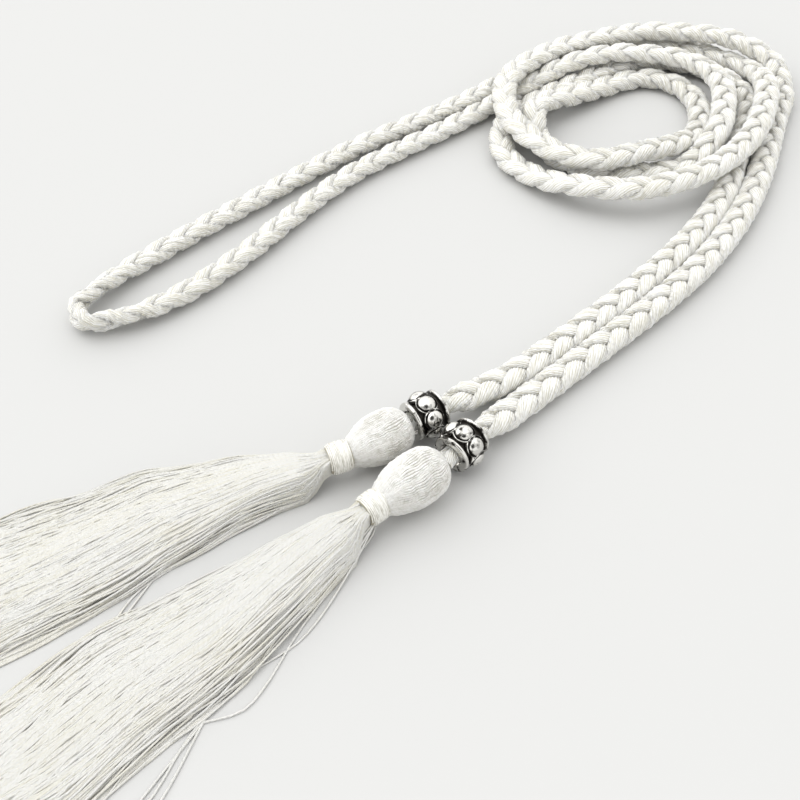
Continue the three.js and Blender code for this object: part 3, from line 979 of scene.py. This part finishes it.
@dataclass(frozen=True)
class Braid:
    """The three-strand plait, one run from knob to knob."""

    line: LaidLine = field(default_factory=LaidLine)
    finish: ThreadFinish = SATIN_CORD
    strand_width: float = 5.1
    strand_thickness: float = 3.3
    swing: float = 2.6
    swell: float = 1.2
    neck_swing: float = 1.3
    neck_swell: float = 0.9
    neck_scale: float = 0.72
    turn: float = 45.0
    lean: float = 2.2
    threads: int = 18
    thread_depth: float = 0.11
    looseness: float = 0.4
    turnover_place: float = 0.546
    turnover_length: float = 74.0
    turnover_lift: float = 1.5
    leg_slimness: float = 0.13
    leg_length: float = 190.0
    leg_fade: float = 1.6
    loose_along: float = 0.14
    loose_around: float = 9.0
    loose_apart: float = 7.3

    def base(self) -> bpy.types.Object:
        """Return the middle line as an object, with its directions kept at every point."""
        points = self.line.points()
        along = stations_of(points)
        count = len(points)
        ahead = unit(np.gradient(points, axis=0))
        aside = unit(np.cross((0.0, 0.0, 1.0), ahead))
        necks = (BEAD_LENGTH + FRONT_PLACE.bare, BEAD_LENGTH + REAR_PLACE.bare)
        from_neck = np.minimum(along - necks[0], along[-1] - along - necks[1])
        past_bight = along - self.turnover_place * along[-1]
        roll = (math.pi * smooth_step(past_bight / self.turnover_length + 0.5))[:, None]
        above = np.cross(ahead, aside)
        points[:, 2] += self.turnover_lift * np.sin(roll[:, 0])
        braid = add_object("braid_cord", points, edges=linked(count))
        keep_number(braid, "station", along)
        keep_number(braid, "flat", smooth_step(from_neck / NECK_TAPER))
        keep_number(braid, "tint", np.zeros(count))
        in_leg = smooth_step(self.leg_fade - np.abs(past_bight) / self.leg_length)
        keep_number(braid, "girth", 1.0 - self.leg_slimness * in_leg)
        keep_vector(braid, "aside", aside * np.cos(roll) + above * np.sin(roll))
        keep_vector(braid, "above", above * np.cos(roll) - aside * np.sin(roll))
        return braid

    def tree(self) -> ShapeTree:
        """Return the geometry tree that lays the three strands over and under along the line."""
        tree = ShapeTree("Plait", {
            "Swing": self.swing,
            "Swell": self.swell,
            "Neck Swing": self.neck_swing,
            "Neck Swell": self.neck_swell,
            "Neck Scale": self.neck_scale,
            "Wave": 3 * LOBE_LENGTH,
            "Strand Width": self.strand_width,
            "Strand Thickness": self.strand_thickness,
            "Thread Depth": self.thread_depth,
            "Threads": self.threads,
            "Looseness": self.looseness,
            "Material": self.finish.material(),
        })
        take = tree.source
        flat, girth = tree.named("flat"), tree.named("girth")
        aside, above = tree.named("aside", "FLOAT_VECTOR"), tree.named("above", "FLOAT_VECTOR")
        swing = tree.times(girth, tree.mixed(flat, take["Neck Swing"], take["Swing"]))
        swell = tree.times(girth, tree.mixed(flat, take["Neck Swell"], take["Swell"]))
        scale = tree.times(girth, tree.mixed(flat, take["Neck Scale"], 1.0))
        phase = tree.math("DIVIDE", tree.times(tree.named("station"), 2 * math.pi), take["Wave"])
        line, profile = tree.line(), self.profile(tree)
        strands = []
        for strand in range(3):
            angle = tree.math("ADD", phase, math.radians(self.turn + 120 * strand))
            sine, cosine = tree.math("SINE", angle), tree.math("COSINE", angle)
            up = tree.times(tree.times(swell, tree.math("SINE", tree.times(angle, 2.0))), -1.0)
            across = tree.times(swing, sine)
            path = tree.moved(line, tree.vector("ADD", tree.scaled(aside, across), tree.scaled(above, up)))
            ahead = tree.ahead()
            out = tree.scaled(aside, tree.times(sine, sine))
            face = tree.vector("ADD", out, tree.scaled(above, tree.times(cosine, -self.lean)))
            leaning = tree.scaled(ahead, tree.vector("DOT_PRODUCT", face, ahead))
            square = tree.vector("NORMALIZE", tree.vector("SUBTRACT", face, leaning))
            path = tree.store(path, "thread", ahead)
            path = tree.out("GeometryNodeSetCurveNormal", {"Curve": path, "Normal": square}, mode="FREE")
            noise = tree.noise(tree.place(
                x=tree.times(tree.named("station"), self.loose_along),
                y=tree.times(tree.named("around"), self.loose_around),
                z=self.loose_apart * strand,
            ), 1.0, 1.0)
            outward = tree.out("GeometryNodeInputNormal")
            loose = tree.scaled(outward, tree.times(noise, take["Looseness"]))
            strands.append(tree.moved(tree.swept(path, profile, scale), loose))
        tree.close(tree.joined(strands))
        return tree

    def profile(self, tree: ShapeTree) -> bpy.types.NodeSocket:
        """Add a strand's section, an oval with a ridge for each thread.

        Args:
            tree: the braid's geometry tree.

        Returns:
            The section, with the attributes around and crest.
        """
        take = tree.source
        corners = tree.times(take["Threads"], 2.0)
        ring = tree.out("GeometryNodeCurvePrimitiveCircle", {"Resolution": corners, "Radius": 1.0})
        index = tree.index()
        # Painted shade: every other corner of the section is a valley between threads, and the finish darkens
        # it as shade.
        crest = tree.math("MODULO", index, 2.0)
        ring = tree.store(ring, "crest", crest)
        ring = tree.store(ring, "around", tree.math("DIVIDE", index, corners))
        dip = tree.times(tree.math("SUBTRACT", 1.0, crest), take["Thread Depth"])
        reach = tree.times(tree.math("SUBTRACT", 1.0, dip), 0.5)
        here = tree.add("ShaderNodeSeparateXYZ", {0: tree.here()}).outputs
        thick = tree.times(tree.times(here["X"], take["Strand Thickness"]), reach)
        wide = tree.times(tree.times(here["Y"], take["Strand Width"]), reach)
        return tree.placed(ring, tree.place(x=thick, y=wide))

    def build(self) -> bpy.types.Object:
        """Returns:
            The finished piece.
        """
        path = (self.line.points() + LAID_SHIFT) * MM
        braid = declare(settle(self.tree().run(self.base())), "braid")
        return braid


@dataclass(frozen=True)
class Bead:
    """A cast barrel bead with a row of raised studs between two plain rims."""

    place: TasselPlace
    finish: SilverFinish = AGED_SILVER
    rim_diameter: float = 10.4
    rim_width: float = 0.85
    rim_edge: float = 0.3
    rim_slope: float = 0.35
    bore_edge: float = 0.2
    core_diameter: float = 8.2
    studs: int = 7
    stud_diameter: float = 5.7
    stud_root: float = 1.0
    collar: float = 0.42
    collar_rise: float = 1.0
    dome_start: float = 0.6
    groove_width: float = 0.2
    sides: int = 72
    stud_sides: int = 28

    def barrel(self, name: str) -> bpy.types.Object:
        """Return the barrel with its rims and bore, in the bead's own frame."""
        half, bore = BEAD_LENGTH / 2, BEAD_BORE / 2
        rim, core = self.rim_diameter / 2, self.core_diameter / 2
        inner_edge = half - self.rim_width
        side = [
            (half - self.bore_edge, bore), (half, bore + self.rim_edge), (half, rim - self.rim_slope),
            (half - self.rim_edge, rim), (inner_edge, rim), (inner_edge - self.rim_slope, core),
        ]
        corners = [*((-along, reach) for along, reach in side), *reversed(side)]
        rows = rounded_rows(corners, 0.4, 5)
        barrel = revolved(name, [*rows, rows[0]], self.sides)
        shape = corners_of(barrel)
        radius = np.hypot(shape[:, 1], shape[:, 2])
        between_rims = np.abs(shape[:, 0]) < inner_edge + 0.1
        sunk = np.clip((rim - radius) / (rim - core), 0, 1)
        keep_number(barrel, "sunk", np.where(between_rims, sunk, 0.0))
        return barrel

    def stud(self) -> bpy.types.Object:
        """Return one stud along X, from inside the core to its dome's top: a collar, a groove, a dome."""
        core, top, outer = self.core_diameter / 2, BEAD_DIAMETER / 2, self.stud_diameter / 2
        dome, root, ledge = outer - self.collar, core - self.stud_root, core + self.collar_rise
        corners = [
            (root, 0.0), (root, outer - 0.4), (core, outer - 0.1), (ledge - 0.2, outer - 0.05),
            (ledge, dome + 0.15), (ledge - 0.45, dome), (ledge - 0.35, dome - 0.1),
        ]
        start = core + self.dome_start
        for degrees in (12, 24, 36, 48, 60, 70, 80):
            angle = math.radians(degrees)
            corners.append((start + (top - start) * math.sin(angle), (dome - 0.08) * math.cos(angle)))
        stud = revolved("stud", rounded_rows([*corners, (top, 0.0)], 0.25, 4), self.stud_sides)
        shape = corners_of(stud)
        radius = np.hypot(shape[:, 1], shape[:, 2])
        groove = np.exp(-((radius - dome) / self.groove_width) ** 2)
        keep_number(stud, "sunk", np.where(shape[:, 0] > core, groove, 0.9))
        return stud

    def build(self) -> bpy.types.Object:
        """Make the bead in place of its CAD node.

        Returns:
            The finished piece.
        """
        name = self.place.end.value + "_bead"
        stud = self.stud()
        tree = ShapeTree("Studded Bead", {
            "Studs": self.studs,
            "First Turn": math.radians(self.place.stud_turn),
            "Stud": stud,
            "Material": self.finish.material(),
        })
        take = tree.source
        ring = tree.out("GeometryNodePoints", {"Count": take["Studs"]})
        share = tree.math("DIVIDE", tree.index(), take["Studs"])
        angle = tree.math("MULTIPLY_ADD", share, 2 * math.pi, take["First Turn"])
        upright = tree.out("FunctionNodeEulerToRotation", {0: (0.0, -math.pi / 2, 0.0)})
        turn = tree.out(
            "FunctionNodeRotateRotation",
            {"Rotation": upright, "Rotate By": tree.spun(angle)},
            rotation_space="GLOBAL",
        )
        inputs = {"Points": ring, "Instance": tree.shape_of("Stud"), "Rotation": turn}
        studs = tree.out("GeometryNodeInstanceOnPoints", inputs)
        tree.close(tree.joined([take["Geometry"], studs]))
        bead = tree.run(self.barrel(name + "_cast"))
        bpy.data.objects.remove(stud)
        lift = Matrix.Translation((0.0, 0.0, BEAD_DIAMETER / 2))
        return declare(settle(bead, self.place.bead_matrix() @ lift), name)


@dataclass(frozen=True)
class Knob:
    """The egg-shaped head of a tassel: satin thread laid lengthwise over a core."""

    place: TasselPlace
    finish: ThreadFinish = SATIN_THREAD
    threads: int = 74
    thread_diameter: float = 0.62
    sides: int = 6
    steps: int = 38
    wander: float = 0.7
    wander_scale: float = 0.16
    bulge_scale: float = 0.9
    tuck: float = 2.2
    core_sides: int = 48

    def outline(self) -> np.ndarray:
        """Return the knob's outline, along and radius, from the braid into the binding."""
        radius, length = self.place.knob_diameter / 2, self.place.knob_length
        rows = [(along * length, share * radius) for along, share in KNOB_OUTLINE]
        tucked = (length + self.tuck, NECK_BINDING_DIAMETER / 2 - 1.0)
        outline = respaced(smooth_line([(0.0, 0.25 * radius), *rows, tucked], 12), self.steps)
        outline[:, 0] = np.maximum(outline[:, 0], self.thread_diameter / 2)
        return outline

    def core(self, outline: np.ndarray) -> bpy.types.Object:
        """Return the core that the threads lie over."""
        inner = self.thread_diameter / 2
        rows = [(float(along), float(max(0.1, reach - inner))) for along, reach in outline]
        end = self.place.knob_length + self.tuck
        core = revolved("core", [(inner, 0.0), *rows, (end, 0.0)], self.core_sides)
        keep_core(core)
        return core

    def tree(self, core: bpy.types.Object) -> ShapeTree:
        """Return the geometry tree that lays the threads round the core from one line.

        Args:
            core: the core, which the tree joins to the threads.

        Returns:
            The tree. Its base object is the line of one thread.
        """
        tree = ShapeTree("Wound Knob", {
            "Threads": self.threads,
            "Thread Radius": self.thread_diameter / 2,
            "Wander": self.wander,
            "Seed": 3.0 if self.place.end is End.FRONT else 11.0,
            "Core": core,
            "Material": self.finish.material(),
        })
        take = tree.source
        ring = tree.out("GeometryNodePoints", {"Count": take["Threads"]})
        tint = tree.out("FunctionNodeRandomValue", {"Min": 0.0, "Max": 0.7, "Seed": 5})
        ring = tree.store(ring, "tint", tint)
        angle = tree.times(tree.math("DIVIDE", tree.index(), take["Threads"]), 2 * math.pi)
        inputs = {"Points": ring, "Instance": tree.line(), "Rotation": tree.spun(angle)}
        copies = tree.out("GeometryNodeInstanceOnPoints", inputs)
        real = tree.out("GeometryNodeRealizeInstances", {"Geometry": copies})
        here = tree.here()
        noise = tree.noise(here, self.wander_scale, seed=take["Seed"])
        sway = tree.times(noise, tree.times(take["Wander"], 6.0))
        sideways = tree.vector("NORMALIZE", tree.vector("CROSS_PRODUCT", (1.0, 0.0, 0.0), here))
        bulge = tree.math("SUBTRACT", tree.noise(here, self.bulge_scale, 1.0), 0.1)
        lift = tree.times(bulge, take["Wander"])
        outward = tree.vector("NORMALIZE", tree.vector("MULTIPLY", here, (0.0, 1.0, 1.0)))
        lines = tree.moved(real, tree.vector("ADD", tree.scaled(sideways, sway), tree.scaled(outward, lift)))
        station = tree.math("MULTIPLY_ADD", tree.named("tint"), 37.0, tree.named("station"))
        lines = tree.store(lines, "station", station)
        threads = tree.thread(lines, take["Thread Radius"], self.sides)
        tree.close(tree.joined([threads, tree.shape_of("Core")]))
        return tree

    def build(self) -> bpy.types.Object:
        """Make the knob in place of its CAD node.

        Returns:
            The finished piece.
        """
        name = self.place.end.value + "_knob"
        outline = self.outline()
        core = self.core(outline)
        heights = outline[:, 1] - self.thread_diameter / 2
        meridian = np.stack([outline[:, 0], np.zeros(self.steps), heights], axis=1)
        base = add_object(name + "_threads", meridian, edges=linked(self.steps))
        keep_number(base, "station", stations_of(meridian))
        knob = self.tree(core).run(base)
        bpy.data.objects.remove(core)
        shape = corners_of(knob)
        surface = np.interp(shape[:, 0], outline[:, 0], outline[:, 1])
        sunk = surface - np.hypot(shape[:, 1], shape[:, 2])
        # Painted shade: thread points sunk below the knob's outline get a lower crest, so the finish darkens
        # them as shade between the threads.
        keep_number(knob, "crest", np.clip(1.15 - 1.5 * sunk / self.thread_diameter, 0.0, 1.0))
        lift = Matrix.Translation((0.0, 0.0, self.place.knob_diameter / 2))
        return declare(settle(knob, self.place.head_matrix() @ lift), name)


@dataclass(frozen=True)
class NeckBinding:
    """The thread bound round a tassel's neck, turn beside turn."""

    place: TasselPlace
    finish: ThreadFinish = SILKY_THREAD
    turns: int = 14
    thread_diameter: float = 0.46
    sides: int = 6
    turn_steps: int = 40
    swelling: float = 0.55
    wall: float = 1.3
    uneven: float = 0.3
    uneven_scale: float = 1.3

    def sleeve(self, name: str) -> bpy.types.Object:
        """Return the sleeve that the turns lie over."""
        outer = NECK_BINDING_DIAMETER / 2
        inner, bed, length = outer - self.wall, outer - self.thread_diameter * 0.6, NECK_BINDING_LENGTH
        rows = rounded_rows([
            (0.0, inner), (0.0, bed - self.swelling), (length * 0.25, bed),
            (length * 0.75, bed), (length, bed - self.swelling), (length, inner),
        ], 1.2, 5)
        sleeve = revolved(name, [*rows, rows[0]], self.turn_steps)
        keep_core(sleeve)
        return sleeve

    def tree(self) -> ShapeTree:
        """Return the geometry tree that winds the thread round the sleeve."""
        tree = ShapeTree("Bound Neck", {
            "Turns": float(self.turns),
            "Length": NECK_BINDING_LENGTH - self.thread_diameter,
            "Outer Radius": (NECK_BINDING_DIAMETER - self.thread_diameter) / 2,
            "Swelling": self.swelling,
            "Thread Radius": self.thread_diameter / 2,
            "Material": self.finish.material(),
        })
        take = tree.source
        coil = tree.out("GeometryNodeCurveSpiral", {
            "Resolution": self.turn_steps, "Rotations": take["Turns"], "Start Radius": 1.0,
            "End Radius": 1.0, "Height": take["Length"],
        })
        here = tree.add("ShaderNodeSeparateXYZ", {0: tree.here()}).outputs
        share = tree.math("DIVIDE", here["Z"], take["Length"])
        from_middle = tree.math("ABSOLUTE", tree.math("MULTIPLY_ADD", share, 2.0, -1.0))
        drop = tree.times(tree.math("POWER", from_middle, 4.0), take["Swelling"])
        uneven = tree.times(tree.noise(tree.here(), self.uneven_scale), self.uneven)
        reach = tree.math("ADD", tree.math("SUBTRACT", take["Outer Radius"], drop), uneven)
        coil = tree.placed(coil, tree.place(
            x=tree.math("ADD", here["Z"], take["Thread Radius"]),
            y=tree.times(here["X"], reach),
            z=tree.times(here["Y"], reach),
        ))
        coil = tree.store(coil, "station", tree.add("GeometryNodeSplineParameter").outputs["Length"])
        threads = tree.thread(coil, take["Thread Radius"], self.sides)
        # Random lighter and darker points over the turns: tone that also stands in for the satin's uneven
        # sheen, a painted sheen.
        tint = tree.out("FunctionNodeRandomValue", {"Min": -0.3, "Max": 1.0, "Seed": 2})
        tree.close(tree.joined([tree.store(threads, "tint", tint), take["Geometry"]]))
        return tree

    def build(self) -> bpy.types.Object:
        """Make the binding in place of its CAD node.

        Returns:
            The finished piece.
        """
        name = self.place.end.value + "_neck_binding"
        binding = self.tree().run(self.sleeve(name + "_turns"))
        shape = corners_of(binding)
        from_middle = np.abs(2 * shape[:, 0] / NECK_BINDING_LENGTH - 1)
        surface = NECK_BINDING_DIAMETER / 2 - self.swelling * from_middle**4
        sunk = surface - np.hypot(shape[:, 1], shape[:, 2])
        # Painted shade: points sunk below the binding's surface get a lower crest, so the finish darkens them
        # as shade between the turns.
        keep_number(binding, "crest", np.clip(1.3 - 1.8 * sunk / self.thread_diameter, 0.0, 1.0))
        lift = Matrix.Translation((0.0, 0.0, NECK_HEIGHT))
        return declare(settle(binding, self.place.tail_matrix() @ lift), name)


@dataclass(frozen=True)
class Skirt:
    """A tassel's loose twisted threads, from inside the neck to their free tips."""

    place: TasselPlace
    finish: ThreadFinish = LOOSE_THREAD
    threads: int = 780
    clumps: int = 34
    thread_diameter: float = 0.56
    sides: int = 4
    steps: int = 28
    step_growth: float = 1.15
    shortest: float = 0.86
    inset: float = 1.3
    clump_spread: float = 0.08
    clump_opening: float = 0.4
    clump_drift: float = 0.11
    drift: float = 0.05
    buried_share: float = 0.4
    buried_depths: tuple[float, float] = (0.7, 2.0)
    top_layer: float = 0.7
    crossing_share: float = 0.12
    crossing_drift: float = 0.28
    waves: tuple[tuple[float, float], ...] = ((0.8, 1.4), (1.9, 0.5), (4.0, 0.12))
    depth_wave: float = 0.18
    root_inside: float = 2.5
    root_radius: float = 2.4
    root_share: float = 0.07

    def limits(self, down: np.ndarray) -> tuple[np.ndarray, np.ndarray, np.ndarray]:
        """Return the skirt's left edge, right edge and top at some shares of its length."""
        edges, tops = np.array(self.place.skirt_edges), np.array(SKIRT_TOP)
        left = np.interp(down, edges[:, 0], edges[:, 1]) * SKIRT_SPREAD
        right = np.interp(down, edges[:, 0], edges[:, 2]) * SKIRT_SPREAD
        return left, right, np.interp(down, tops[:, 0], tops[:, 1]) * SKIRT_HEIGHT

    def thread_points(self, rng: np.random.Generator, clumps: np.ndarray) -> tuple[np.ndarray, float]:
        """Lay one thread of the skirt.

        Args:
            rng: the source of the skirt's chance.
            clumps: for each clump, its place across the skirt, its sway, rate and start, and its drift.

        Returns:
            The thread's points in the skirt's own frame, in millimetres, and its mean depth.
        """
        radius = self.thread_diameter / 2
        share = np.linspace(0.0, 1.0, self.steps) ** self.step_growth
        reach = SKIRT_LENGTH * rng.uniform(self.shortest, 1.0)
        down = share * reach / SKIRT_LENGTH
        left, right, top = self.limits(down)
        middle, clump_sway, rate, start, clump_drift = clumps[rng.integers(len(clumps))]
        spread = rng.normal(0.0, self.clump_spread)
        buried = rng.uniform() < self.buried_share
        depth = rng.uniform(*self.buried_depths) if buried else self.top_layer * rng.uniform() ** 1.5
        across = middle + spread * (1.0 + self.clump_opening * down)
        across = across + (clump_drift + rng.normal(0.0, self.drift)) * (down - 0.2)
        sway = clump_sway * np.sin(2 * math.pi * (rate * down + start))
        crossing = 0.0
        if rng.uniform() < self.crossing_share:
            crossing = rng.uniform(-self.crossing_drift, self.crossing_drift)
            depth = 0.0
        across = np.clip(across + crossing * (down - 0.25), 0.01, 0.99)
        for rate, size in self.waves:
            turn = rng.uniform(0.7, 1.3) * rate * down + rng.uniform()
            size = rng.uniform(0.2, 1.0) * size
            sway = sway + size * smooth_step(down * 1.4) * np.sin(2 * math.pi * turn)
        wave = np.sin(2 * math.pi * (rng.uniform(0.4, 1.2) * down + rng.uniform()))
        depth = depth + self.depth_wave * wave
        margin = radius + self.inset * smooth_step(down / 0.15)
        y = right + margin + across * (left - right - 2 * margin) + sway * smooth_step(down / 0.3)
        rounding = (1.0 - np.abs(2 * across - 1.0) ** 2.6) ** 0.6
        room = np.maximum(top * rounding - 2 * radius, 0.0)
        z = radius + np.maximum(room - np.maximum(depth, 0.0), 0.0)
        angle, ring = rng.uniform(0, 2 * math.pi), self.root_radius * math.sqrt(rng.uniform())
        root_y = np.clip((across[0] - 0.5) * 4.6, -self.root_radius, self.root_radius)
        root_z = NECK_HEIGHT + ring * math.sin(angle)
        at_root = 1.0 - smooth_step(down / self.root_share)
        y = y * (1 - at_root) + root_y * at_root
        z = z * (1 - at_root) + root_z * at_root
        inside = (NECK_BINDING_LENGTH - self.root_inside, root_y * 0.9, root_z)
        outside = np.stack([NECK_BINDING_LENGTH + share * reach, y, z], axis=1)
        return np.vstack([inside, outside]), float(np.mean(depth))

    def stray_points(self, spots: Sequence[tuple[float, float]]) -> np.ndarray:
        """Lay one thread that has left the skirt's edge.

        Args:
            spots: where it runs on the floor, along and to the left of the skirt's own frame.

        Returns:
            The thread's points in the skirt's own frame, in millimetres, as many as any other's.
        """
        height = self.thread_diameter / 2
        root = (NECK_BINDING_LENGTH - self.root_inside, spots[0][1] * 0.3, NECK_HEIGHT - 1.5)
        falling = [(along, aside, height + 2.2 * max(0.0, 1 - along / 30)) for along, aside in spots]
        line = respaced(smooth_line([root, *falling], 12), self.steps + 1)
        line[:, 2] = np.maximum(line[:, 2], height)
        return line

    def base(self, name: str) -> bpy.types.Object:
        """Return every thread's line as one object, with its station and its value of painted shade and tone
        kept at every point.
        """
        rng = np.random.default_rng(7 if self.place.end is End.FRONT else 19)
        clumps = np.stack([
            (np.arange(self.clumps) + rng.uniform(0.2, 0.8, self.clumps)) / self.clumps,
            rng.uniform(0.3, 1.6, self.clumps),
            rng.uniform(0.8, 2.2, self.clumps),
            rng.uniform(0.0, 1.0, self.clumps),
            rng.normal(0.0, self.clump_drift, self.clumps),
        ], axis=1)
        laid = [self.thread_points(rng, clumps) for _ in range(self.threads)]
        lines = [line for line, _ in laid] + [self.stray_points(spots) for spots in self.place.strays]
        each = len(lines[0])
        edges = [(row * each + a, row * each + b) for row in range(len(lines)) for a, b in linked(each)]
        skirt = add_object(name, np.vstack(lines), edges=edges)
        phases = rng.uniform(0.0, 60.0, len(lines))
        stations = [stations_of(line) + phase for line, phase in zip(lines, phases)]
        keep_number(skirt, "station", np.concatenate(stations))
        # Painted shade: threads lying deeper under the others are drawn darker, plus a random tone for each
        # thread; strays get neither.
        tint = 0.5 * np.array([depth for _, depth in laid]) + rng.uniform(-0.6, 0.9, self.threads)
        tint = np.concatenate([tint, np.zeros(len(self.place.strays))])
        keep_number(skirt, "tint", np.repeat(tint, each))
        return skirt

    def build(self) -> bpy.types.Object:
        """Make the skirt in place of its CAD node.

        Returns:
            The finished piece.
        """
        name = self.place.end.value + "_skirt"
        tree = ShapeTree("Loose Threads", {
            "Thread Radius": self.thread_diameter / 2,
            "Sides": self.sides,
            "Material": self.finish.material(),
        })
        tree.close(tree.thread(tree.line(), tree.source["Thread Radius"], tree.source["Sides"]))
        skirt = tree.run(self.base(name + "_threads"))
        return declare(settle(skirt, self.place.tail_matrix()), name)


def report(piece: bpy.types.Object) -> None:
    """Log a finished piece: its name and how many triangles it has."""
    triangles = sum(len(face.vertices) - 2 for face in piece.data.polygons)
    LOG.info("%s: %d triangles", piece.name, triangles)


def main() -> None:
    """Build the camera, the belt from its braid outwards, and the studio round it."""
    logging.basicConfig(level=logging.INFO, format="%(name)s: %(message)s")
    studio = Studio()
    studio.camera()
    report(Braid().build())
    sub_assemblies: tuple[Callable[[TasselPlace], Bead | Knob | NeckBinding | Skirt], ...] = (
        Bead, Knob, NeckBinding, Skirt,
    )
    for place in (FRONT_PLACE, REAR_PLACE):
        for sub_assembly in sub_assemblies:
            report(sub_assembly(place).build())
    studio.floor()
    studio.surroundings()
    studio.window()
    bpy.context.scene.view_settings.view_transform = "Standard"


if __name__ == "__main__":
    main()
